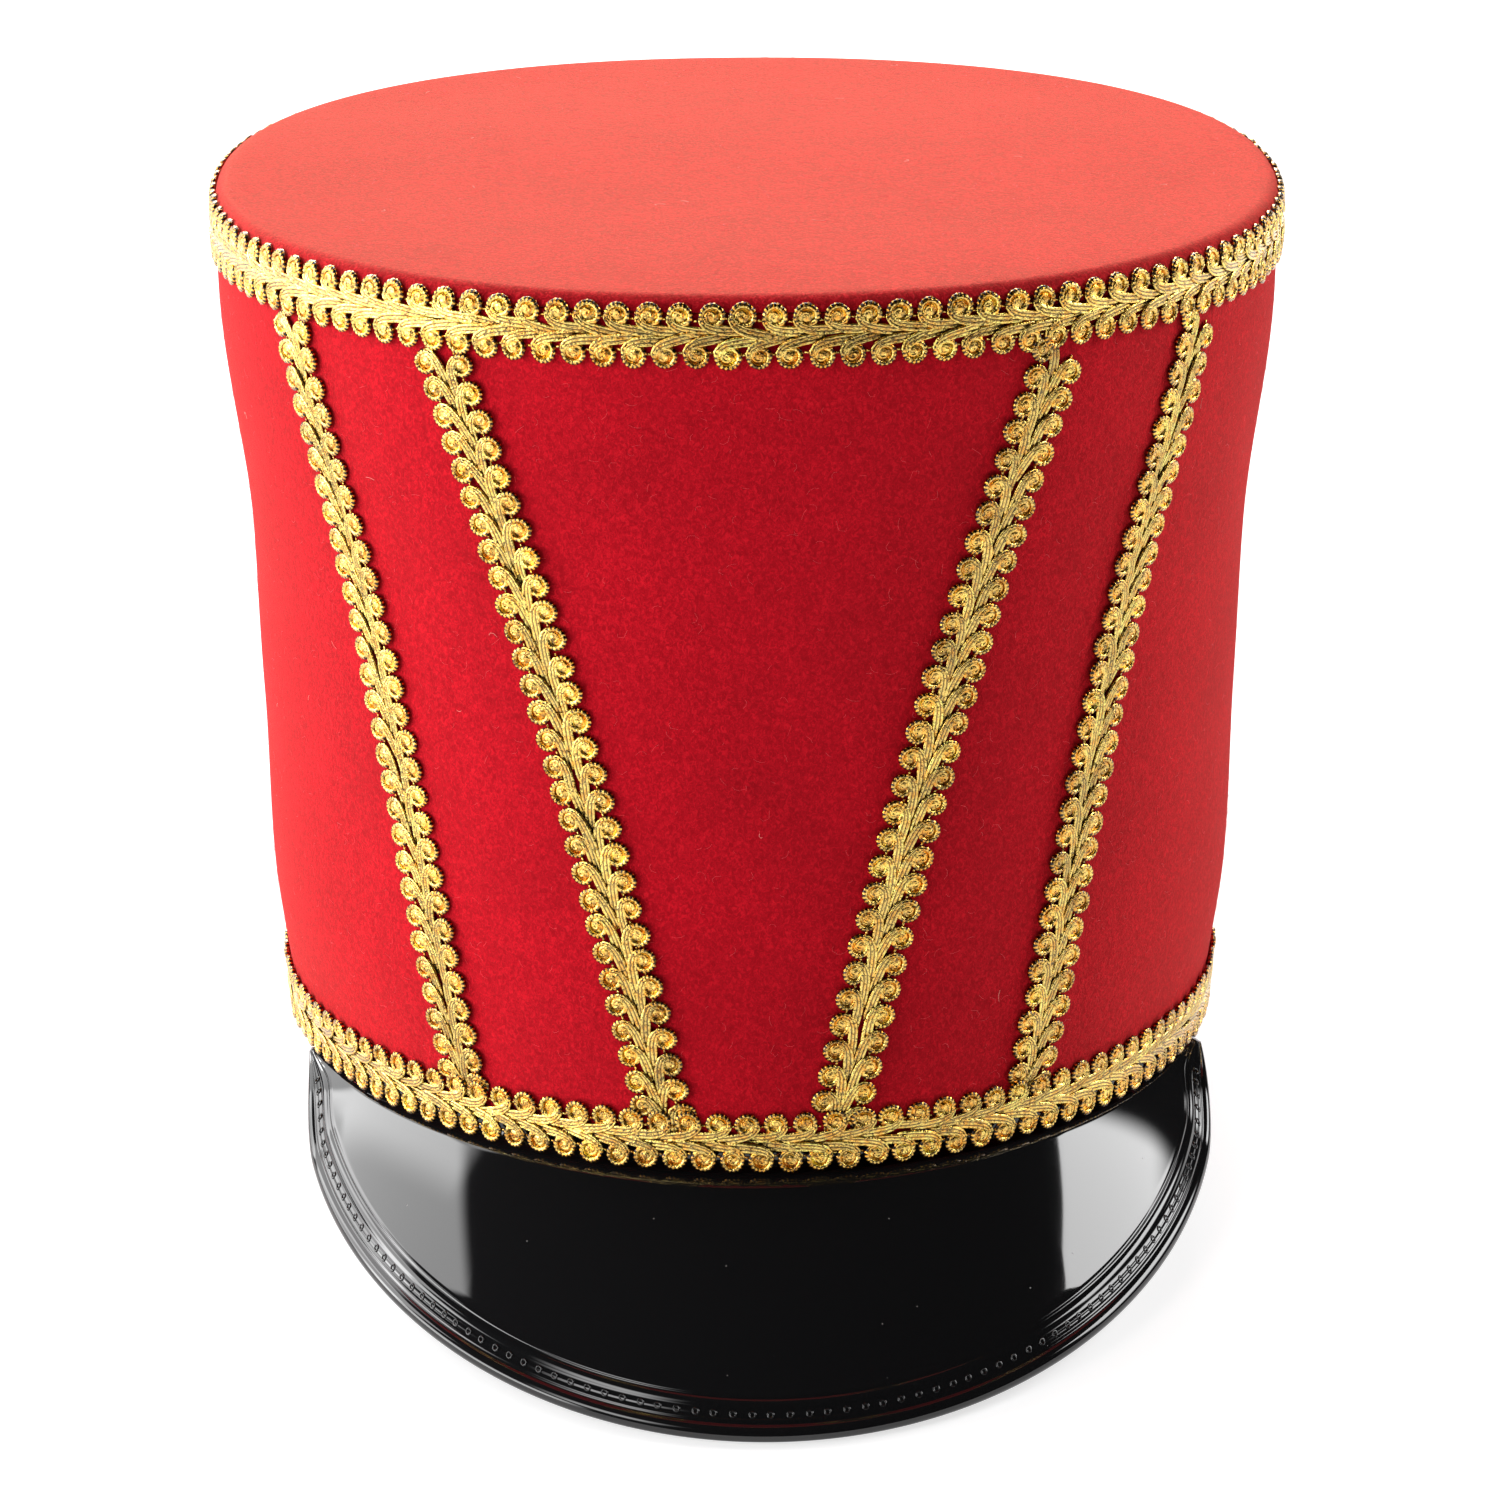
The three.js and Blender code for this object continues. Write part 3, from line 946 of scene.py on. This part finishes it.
@dataclass(frozen=True)
class GimpBraid:
    """A length of braid: two staggered rows of loops, laid on the crown.

    The turned braid has its stems pointing the other way along.
    """

    name: str
    stands_for: str
    loops: int
    pitch: float
    turned: bool
    seed: int

    def flat(self) -> bmesh.types.BMesh:
        """Lays the loops of both rows along a straight line, each a little different.

        Returns:
            The flat braid's mesh.
        """
        rng = np.random.default_rng(self.seed)
        loop = GimpLoop(self.pitch)
        bm = loop.template()
        tone = bm.verts.layers.float["tone"]
        first = list(bm.verts) + list(bm.edges) + list(bm.faces)
        twin = bmesh.ops.duplicate(bm, geom=first)["geom"]
        mirrored = [part for part in twin if isinstance(part, bmesh.types.BMVert)]
        bmesh.ops.scale(bm, vec=(1, -1, 1), verts=mirrored)
        bmesh.ops.reverse_faces(
            bm, faces=[part for part in twin if isinstance(part, bmesh.types.BMFace)])
        patterns = {Row.UPPER: first, Row.LOWER: twin}
        half_turn = Matrix.Rotation(math.pi, 4, "Z") if self.turned else Matrix.Identity(4)
        for index in range(self.loops):
            for row, pattern in patterns.items():
                centre = Vector((0, row.value * loop.head_centre, 0.5))
                wobble = (Matrix.Translation(centre + Vector(rng.normal(0, 0.07, 3) * (1, 1, 0.3)))
                          @ Matrix.Rotation(rng.normal(0, 0.07), 4, "Z")
                          @ Matrix.Rotation(rng.normal(0, 0.05), 4, "X")
                          @ Matrix.Diagonal((*rng.normal(1, 0.03, 2), 1, 1))
                          @ Matrix.Translation(-centre))
                offset = 0.5 if (row is Row.UPPER) != self.turned else 0.0
                along = Matrix.Translation(((index + offset) * self.pitch, 0, 0))
                copy = bmesh.ops.duplicate(bm, geom=pattern)["geom"]
                verts = [part for part in copy if isinstance(part, bmesh.types.BMVert)]
                bmesh.ops.transform(bm, matrix=along @ half_turn @ wobble, verts=verts)
                shade = float(np.clip(rng.normal(1.0, 0.12), 0.7, 1.25))
                for vertex in verts:
                    vertex[tone] = shade
        spent = [part for part in first + twin if isinstance(part, bmesh.types.BMVert)]
        bmesh.ops.delete(bm, geom=spent, context="VERTS")
        return bm

    def build(self, place: Place, gilt: bpy.types.Material) -> bpy.types.Object:
        """Lays the braid where it belongs and finishes it.

        Args:
            place: takes flat (along, across, out) points to the shared frame.
            gilt: the braid's material.

        Returns:
            The braid's object.
        """
        bm = self.flat()
        warp(bm, place)
        return add_piece(bm, self.name, gilt, [self.stands_for])


@dataclass(frozen=True)
class Trimming:
    """All the braid on the crown: two rings and four slanted strips between them."""

    width: float = 11.8
    clearance: float = 0.3
    backing: float = 0.1           # how far the loops' underside stands off the felt
    rim_rise: float = 0.2
    top_drop: float = 0.9
    top_loops: int = 123
    rim_loops: int = 115
    strip_pitch: float = 5.09
    tuck: float = 1.8
    strips: tuple[tuple[str, float, float, float], ...] = (
        ("braid_outer_left", -52.6, -32.7, 1.8),
        ("braid_inner_left", -31.8, -9.4, 1.6),
        ("braid_inner_right", 30.3, 7.5, -1.8),
        ("braid_outer_right", 49.3, 29.3, -1.9),
    )

    def build_ring(self, node: str, middle: float, loops: int, turned: bool, seed: int,
                   gilt: bpy.types.Material) -> None:
        """Builds a closed ring of braid.

        Args:
            node: the CAD node that it replaces.
            middle: the height of its centre line.
            loops: loops in each row.
            turned: whether its stems point towards +X at the front.
            seed: for its small differences.
            gilt: the braid's material.
        """
        angles, lengths = CROWN.girth(middle)
        pitch = lengths[-1] / loops

        def place(points: np.ndarray) -> np.ndarray:
            """Wraps the flat braid round the crown.

            Args:
                points: corners of the flat braid.

            Returns:
                Their places in the shared frame.
            """
            along, across, out = points.T
            angle = np.interp(np.mod(along, lengths[-1]), lengths, angles)
            radius = CROWN.corner_radius
            over = np.clip(middle + across - (CROWN.height - radius), 0, radius * 0.9)
            inwards = radius - np.sqrt(radius ** 2 - over ** 2)
            lifted = out + self.backing - inwards
            return STANCE.place(CROWN.point(angle, middle + across, lifted))

        braid = GimpBraid("gimp_" + node, node, loops, pitch, turned, seed)
        braid.build(place, gilt)

    def build_strip(self, node: str, top_angle: float, rim_angle: float, bow: float, seed: int,
                    gilt: bpy.types.Material) -> None:
        """Builds one slanted strip.

        Args:
            node: the CAD node that it replaces.
            top_angle: degrees from the front at the top ring's centre line.
            rim_angle: degrees from the front at the rim ring's centre line.
            bow: degrees that its middle stands aside.
            seed: for its small differences.
            gilt: the braid's material.
        """
        low = self.rim_rise + self.width + self.clearance
        high = CROWN.height - self.top_drop - self.width - self.clearance
        z = np.linspace(low - 8, high + 8, 400)
        share = (z - low + self.width / 2) / (high - low + self.width)
        angle = np.radians(rim_angle + (top_angle - rim_angle) * share + 4 * bow * share * (1 - share))
        line = CROWN.point(angle, z)
        run = np.concatenate([[0.0], np.cumsum(np.linalg.norm(np.diff(line, axis=0), axis=1))])
        run -= np.interp(low - self.tuck, z, run)
        length = float(np.interp(high + self.tuck, z, run))
        loops = round(length / self.strip_pitch)

        def place(points: np.ndarray) -> np.ndarray:
            """Lays the flat braid along the strip's line.

            Args:
                points: corners of the flat braid.

            Returns:
                Their places in the shared frame.
            """
            along, across, out = points.T
            height = np.interp(along, run, z)
            turn = np.interp(height, z, angle)
            middle = CROWN.point(turn, height)
            ahead = CROWN.point(np.interp(height + 1, z, angle), height + 1) - middle
            ahead /= np.linalg.norm(ahead, axis=1)[:, None]
            aside = np.cross(CROWN.outward(turn, height), ahead)
            flat = middle + aside * across[:, None]
            pressed = np.clip(np.minimum(along, length - along) / self.tuck + 0.1, 0.35, 1)
            level = np.clip(flat[:, 2], 0, CROWN.height)
            return STANCE.place(CROWN.point(np.arctan2(flat[:, 0], -flat[:, 1]), level,
                                            out * pressed + self.backing))

        GimpBraid("gimp_" + node, node, loops, length / loops, False, seed).build(place, gilt)

    def build(self, gilt: bpy.types.Material) -> None:
        """Builds every length of braid.

        Args:
            gilt: the braid's material.
        """
        top_middle = CROWN.height - self.top_drop - self.width / 2
        rim_middle = self.rim_rise + self.width / 2
        self.build_ring("top_braid", top_middle, self.top_loops, True, SEED + 1, gilt)
        self.build_ring("rim_braid", rim_middle, self.rim_loops, False, SEED + 2, gilt)
        for number, (node, top_angle, rim_angle, bow) in enumerate(self.strips):
            self.build_strip(node, top_angle, rim_angle, bow, SEED + 3 + number, gilt)


# ---- Peak ----------------------------------------------------------------


@dataclass(frozen=True)
class MouldedPeak:
    """The peak: one pressed sheet with a moulded border, in millimetres.

    The border is given as distances in from the edge with the relief there: the
    rolled lip, a fine ridge, the row of false stitches, a broad bead and a last ridge.
    """

    thickness: float = 1.7
    end_angle: float = 68.0
    edge_half_width: float = 86.6
    edge_half_depth: float = 104.4
    edge_centre: tuple[float, float] = (0.9, -37.1)
    edge_slope: float = 0.264
    edge_start: float = -13.0
    ends: tuple[float, float] = (52.0, 68.0)       # degrees over which they lift and narrow
    end_lift: float = 0.85
    end_taper: float = 0.5
    end_width: float = 0.6
    bulge: float = 1.2
    flange_height: float = 9.0
    seat_gap: float = 0.35
    columns: int = 260
    stitch_inset: float = 4.6
    stitch_spacing: float = 3.35
    stitch_ring: tuple[float, float] = (0.54, 0.2)     # radius of each ring, and of its bead
    border: tuple[tuple[float, float], ...] = (
        (8.9, 0.0), (8.6, 0.03), (8.4, 0.11), (8.15, 0.13), (7.95, 0.05), (7.75, -0.05),
        (7.5, 0.0), (7.25, 0.1), (6.9, 0.2), (6.5, 0.23), (6.1, 0.18), (5.8, 0.08),
        (5.55, 0.01), (5.3, 0.0), (4.85, 0.0), (4.72, 0.07), (4.48, 0.07), (4.35, 0.0),
        (3.9, 0.0), (3.72, 0.08), (3.5, 0.12), (3.28, 0.08), (3.1, 0.0), (2.85, -0.03),
        (2.65, 0.06), (2.4, 0.24), (2.0, 0.4), (1.5, 0.47), (1.0, 0.42), (0.6, 0.24),
        (0.25, -0.1), (0.05, -0.55), (0.0, -1.0),
    )

    def reach(self, angle: np.ndarray) -> tuple[np.ndarray, np.ndarray]:
        """How far the edge stands out from the rim, and how far it drops.

        Args:
            angle: angles from the front.

        Returns:
            Distances out along the rim's normal, and drops.
        """
        zero = np.zeros_like(angle)
        rim, n = CROWN.point(angle, zero), CROWN.outward(angle, zero)
        w, d = self.edge_half_width, self.edge_half_depth
        x, y = rim[:, 0] - self.edge_centre[0], rim[:, 1] - self.edge_centre[1]
        qa = (n[:, 0] / w) ** 2 + (n[:, 1] / d) ** 2
        qb = x * n[:, 0] / w ** 2 + y * n[:, 1] / d ** 2
        qc = (x / w) ** 2 + (y / d) ** 2 - 1
        plan = (-qb + np.sqrt(np.maximum(qb ** 2 - qa * qc, 0))) / qa
        start, end = self.ends
        t = np.clip((np.abs(np.degrees(angle)) - start) / (end - start), 0, 1)
        out = np.maximum(plan * (1 - self.end_taper * t ** 2), self.end_width)
        ahead = self.edge_start - rim[:, 1] - n[:, 1] * out
        return out, self.edge_slope * ahead * (1 - self.end_lift * t * t * (3 - 2 * t))

    def on_sheet(self, angle: np.ndarray, inset: np.ndarray, relief: np.ndarray,
                 from_start: np.ndarray) -> np.ndarray:
        """Points of the sheet in the upright frame.

        Args:
            angle: angles from the front.
            inset: distances in from the edge, used where from_start is not a number.
            relief: heights above the plain sheet.
            from_start: shares of the way from the rim to the border, or not a number.

        Returns:
            An array of points.
        """
        out, drop = self.reach(angle)
        start = np.stack([np.full_like(out, 0.5), np.full_like(out, -self.seat_gap)], -1)
        slope = np.stack([out, -self.seat_gap - drop], -1) - start
        length = np.maximum(np.linalg.norm(slope, axis=1), 0.2)
        slope = slope / length[:, None]
        squeeze = length / 9.8 / (1 + (length / 9.8) ** 6) ** (1 / 6)
        plain = length - self.border[0][0] * squeeze
        travel = np.where(np.isnan(from_start), length - inset * squeeze, from_start * plain)
        share = travel / length
        crowned = 4 * share * (1 - share) * self.bulge * np.minimum(length / 40, 1)
        raised = crowned + relief * squeeze
        section = start + slope * travel[:, None]
        section += np.stack([-slope[:, 1], slope[:, 0]], -1) * raised[:, None]
        foot = CROWN.point(angle, np.zeros_like(angle))
        rim = foot + CROWN.outward(angle, np.zeros_like(angle)) * section[:, :1]
        rim[:, 2] = section[:, 1]
        return rim

    def section_rows(self) -> list[tuple[str, float, float]]:
        """The closed section, from the flange round.

        Returns:
            Its corners as (kind, distance or share, relief).
        """
        hidden = -self.thickness
        return [
            ("flange", -self.flange_height, 0.0), ("flange", -2.0, 0.0), ("flange", 0.0, 0.0),
            *[("plain", share, 0.0) for share in np.linspace(0.0, 0.96, 15)],
            *[("border", inset, relief) for inset, relief in self.border],
            ("border", 0.35, hidden - 0.1), ("border", 1.2, hidden - 0.3),
            ("border", 2.6, hidden - 0.1), ("border", 8.9, hidden),
            *[("plain", share, hidden) for share in np.linspace(0.9, 0.0, 8)],
            ("flange", 0.0, 1.4), ("flange", -self.flange_height, 1.4),
        ]

    def build_sheet(self, vinyl: bpy.types.Material) -> bpy.types.Object:
        """Builds the sheet by bending a grid round its closed section.

        Args:
            vinyl: the peak's material.

        Returns:
            The peak's object.
        """
        rows = self.section_rows()
        bm = bmesh.new()
        bmesh.ops.create_grid(bm, x_segments=self.columns, y_segments=len(rows), size=1.0)
        kinds = np.array([{"flange": 0, "plain": 1, "border": 2}[kind] for kind, _, _ in rows])
        values = np.array([value for _, value, _ in rows])
        reliefs = np.array([relief for _, _, relief in rows])

        def place(points: np.ndarray) -> np.ndarray:
            """Puts the grid's rows on the section's corners.

            Args:
                points: corners of the plain grid.

            Returns:
                Their places in the shared frame.
            """
            angle = np.radians(self.end_angle) * points[:, 0]
            row = np.rint((0.5 - points[:, 1] / 2) * len(rows)).astype(int) % len(rows)
            kind, value, relief = kinds[row], values[row], reliefs[row]
            sheet = self.on_sheet(angle, value, relief, np.where(kind == 1, value, np.nan))
            inside = -CROWN.wall - self.seat_gap - relief
            foot = CROWN.point(angle, np.zeros_like(angle), inside)
            foot[:, 2] = -self.seat_gap - value - np.where(value == 0, relief * 0.9, 0)
            return STANCE.place(np.where((kind == 0)[:, None], foot, sheet))

        warp(bm, place)
        bmesh.ops.remove_doubles(bm, verts=bm.verts, dist=0.01 * MM)
        bmesh.ops.holes_fill(bm, edges=[e for e in bm.edges if e.is_boundary], sides=0)
        bmesh.ops.recalc_face_normals(bm, faces=bm.faces)
        return add_piece(bm, "peak_sheet", vinyl, ["peak"])

    def build_stitches(self, vinyl: bpy.types.Material) -> bpy.types.Object:
        """Builds the row of moulded false stitches along the border, each a small ring.

        Args:
            vinyl: the peak's material.

        Returns:
            The row's object.
        """
        angle = np.radians(np.linspace(-self.end_angle + 7, self.end_angle - 7, 1200))
        inset = np.full_like(angle, self.stitch_inset)
        plain = np.full_like(angle, np.nan)
        line = self.on_sheet(angle, inset, np.zeros_like(angle), plain)
        inner = self.on_sheet(angle, inset + 0.5, np.zeros_like(angle), plain)
        run = np.concatenate([[0.0], np.cumsum(np.linalg.norm(np.diff(line, axis=0), axis=1))])
        radius, tube = self.stitch_ring
        bm = spun_section([(radius + tube * math.cos(t), tube * math.sin(t))
                           for t in np.linspace(0, FULL_TURN, 5, endpoint=False)], 12)
        bead = list(bm.verts)
        pattern = bead + list(bm.edges) + list(bm.faces)
        count = int(run[-1] / self.stitch_spacing)
        for k in range(count + 1):
            i = int(np.searchsorted(run, (k + 0.01) * run[-1] / (count + 0.02)))
            i = min(max(i, 1), len(angle) - 2)
            along = Vector(line[i + 1] - line[i - 1]).normalized()
            inwards = Vector(inner[i] - line[i]).normalized()
            up = along.cross(inwards).normalized()
            up = up if up.z > 0 else -up
            axes = Matrix((along, inwards, up)).transposed().to_4x4()
            copy = bmesh.ops.duplicate(bm, geom=pattern)["geom"]
            verts = [part for part in copy if isinstance(part, bmesh.types.BMVert)]
            bmesh.ops.transform(bm, verts=verts,
                                matrix=Matrix.Translation(Vector(line[i]) + up * 0.02) @ axes)
        bmesh.ops.delete(bm, geom=bead, context="VERTS")
        bmesh.ops.recalc_face_normals(bm, faces=bm.faces)
        warp(bm, STANCE.place)
        return add_piece(bm, "peak_false_stitches", vinyl)

    def build(self, vinyl: bpy.types.Material) -> None:
        """Builds the sheet and its stitches."""
        self.build_sheet(vinyl)
        self.build_stitches(vinyl)


# ---- Studio --------------------------------------------------------------


@dataclass(frozen=True)
class Softbox:
    """A soft area light, placed round the hat.

    Azimuth 0 is in front and 90 is towards +X; the radiance is what a mirror would show.
    """

    name: str
    azimuth: float
    elevation: float
    distance: float
    width: float
    height: float
    radiance: float
    fade: tuple[float, float, float] = (0.0, 0.0, 0.0)     # shares that dim: sides, top, bottom

    def build(self, target: Vector) -> None:
        """Adds the light, facing the hat.

        Args:
            target: the point that it faces.
        """
        az, el = math.radians(self.azimuth), math.radians(self.elevation)
        way = Vector((math.sin(az) * math.cos(el), -math.cos(az) * math.cos(el), math.sin(el)))
        light = bpy.data.lights.new(self.name, "AREA")
        light.shape = "RECTANGLE"
        light.size, light.size_y = self.width, self.height
        light.energy = self.radiance * math.pi * self.width * self.height
        if any(self.fade):
            light.use_nodes = True
            tree = light.node_tree
            spot = add_node(tree, "ShaderNodeNewGeometry").outputs["Parametric"]
            across, up, _ = add_node(tree, "ShaderNodeSeparateXYZ", {}, {0: spot}).outputs
            off = add_node(tree, "ShaderNodeMath", {"operation": "SUBTRACT", 1: 0.5}, {0: across})
            side = add_node(tree, "ShaderNodeMath", {"operation": "ABSOLUTE"}, {0: off.outputs[0]})
            sides, top, bottom = (max(share, 1e-3) for share in self.fade)
            strength = None
            for source, dark, full in ((side.outputs[0], 0.5, 0.5 - sides), (up, 1.0, 1.0 - top),
                                       (up, 0.0, bottom)):
                dim = add_node(tree, "ShaderNodeMapRange",
                               {"interpolation_type": "SMOOTHSTEP", "From Min": dark,
                                "From Max": full}, {"Value": source}).outputs[0]
                strength = dim if strength is None else add_node(
                    tree, "ShaderNodeMath", {"operation": "MULTIPLY"},
                    {0: strength, 1: dim}).outputs[0]
            tree.links.new(strength, tree.nodes["Emission"].inputs["Strength"])
        lamp = bpy.data.objects.new(self.name, light)
        lamp.location = target + way * self.distance
        lamp.rotation_euler = way.to_track_quat("Z", "Y").to_euler()
        bpy.context.scene.collection.objects.link(lamp)


@dataclass(frozen=True)
class StudioCamera:
    """The camera: a long lens in front of the hat, looking down on it."""

    position: tuple[float, float, float] = (-0.0212, -1.0074, 0.5637)
    heading: float = 0.021
    dip: float = 0.31 + math.radians(8.411)
    roll: float = -0.001
    lens: float = 140.9
    sensor: float = 36.0

    def build(self) -> None:
        """Adds the camera and makes it the scene's own."""
        ahead = Vector((math.sin(self.heading) * math.cos(self.dip),
                        math.cos(self.heading) * math.cos(self.dip), -math.sin(self.dip)))
        right = Vector((math.cos(self.heading), -math.sin(self.heading), 0.0))
        up = right.cross(ahead)
        axes = Matrix((right, up, -ahead)).transposed().to_4x4()
        data = bpy.data.cameras.new("studio_camera")
        data.lens, data.sensor_width = self.lens, self.sensor
        data.clip_start, data.clip_end = 0.05, 20.0
        camera = bpy.data.objects.new("studio_camera", data)
        camera.matrix_world = (Matrix.Translation(self.position) @ axes
                               @ Matrix.Rotation(self.roll, 4, "Z"))
        bpy.context.scene.collection.objects.link(camera)
        bpy.context.scene.camera = camera


@dataclass(frozen=True)
class Studio:
    """A lit white table, soft boxes round it and a dark room."""

    floor_size: float = 8.0
    room: float = 0.01
    boxes: tuple[Softbox, ...] = (
        Softbox("tall_box_left", -110, 22.7, 1.35, 0.82, 1.09, 4.7, (0.06, 0.08, 0.0)),
        Softbox("box_right", 104, 27, 1.25, 0.84, 0.64, 9.6, (0.12, 0.0, 0.35)),
        Softbox("key_left", -45, 38, 1.7, 1.1, 0.9, 6.0, (0.4, 0.4, 0.4)),
        Softbox("low_box_left", -78, 8, 1.7, 2.3, 0.8, 7.8, (0.2, 0.3, 0.0)),
        Softbox("back_box", -158, 34, 1.5, 2.3, 1.2, 3.3, (0.1, 0.1, 0.1)),
        Softbox("low_back_box", -172, 19, 1.6, 1.2, 0.5, 10.5),
    )

    def build(self) -> None:
        """Builds the table, the lights and the room's faint glow."""
        bm = bmesh.new()
        bmesh.ops.create_grid(bm, x_segments=1, y_segments=1, size=self.floor_size / 2)
        mesh = bpy.data.meshes.new("floor")
        bm.to_mesh(mesh)
        bm.free()
        mesh.materials.append(LitTable().material())
        floor = bpy.data.objects.new("floor", mesh)
        bpy.context.scene.collection.objects.link(floor)
        low, high = CAD_BOX
        middle = Vector([(a + b) / 2 for a, b in zip(low, high)])
        for box in self.boxes:
            box.build(middle)
        world = bpy.data.worlds.new("dim_room")
        world.use_nodes = True
        world.node_tree.nodes["Background"].inputs["Color"].default_value = (1, 1, 1, 1)
        world.node_tree.nodes["Background"].inputs["Strength"].default_value = self.room
        bpy.context.scene.world = world
        bpy.context.scene.view_settings.view_transform = "Standard"


# ---- Assembly ------------------------------------------------------------


def main() -> None:
    """Builds the studio and the hat, piece by piece."""
    logging.basicConfig(level=logging.INFO, format="%(name)s: %(message)s")
    StudioCamera().build()
    Studio().build()
    crown = FeltCrown()
    pressed = WoolFelt("pressed_wool_felt", "c80a20", "960012", "e6202c", "ff8a6c", 0.28)
    # painted light: the top's felt is the wall's felt with lighter colours and twice the sheen, so
    # that the top looks more brightly lit
    lit_top_felt = WoolFelt("wool_felt_painted_lit_top", "d40c22", "8c0010", "f63c46", "ff9472", 0.56)
    crown.build_wall(pressed.material())
    crown.build_top(lit_top_felt.material())
    loose = WoolFibre("loose_red_wool", "e2333a").material()
    pale = WoolFibre("stray_pale_fibre", "f2b0a0").material()
    FeltNap("felt_nap", 3600, 0.045, (0.6, 2.2), 0.35, SEED + 10).build(loose, "crown_felt")
    FeltNap("stray_fibres", 50, 0.06, (0.8, 2.6), 0.4, SEED + 11).build(pale, "crown_felt")
    Trimming().build(GiltThread().material())
    MouldedPeak().build(MouldedVinyl().material())


if __name__ == "__main__":
    main()
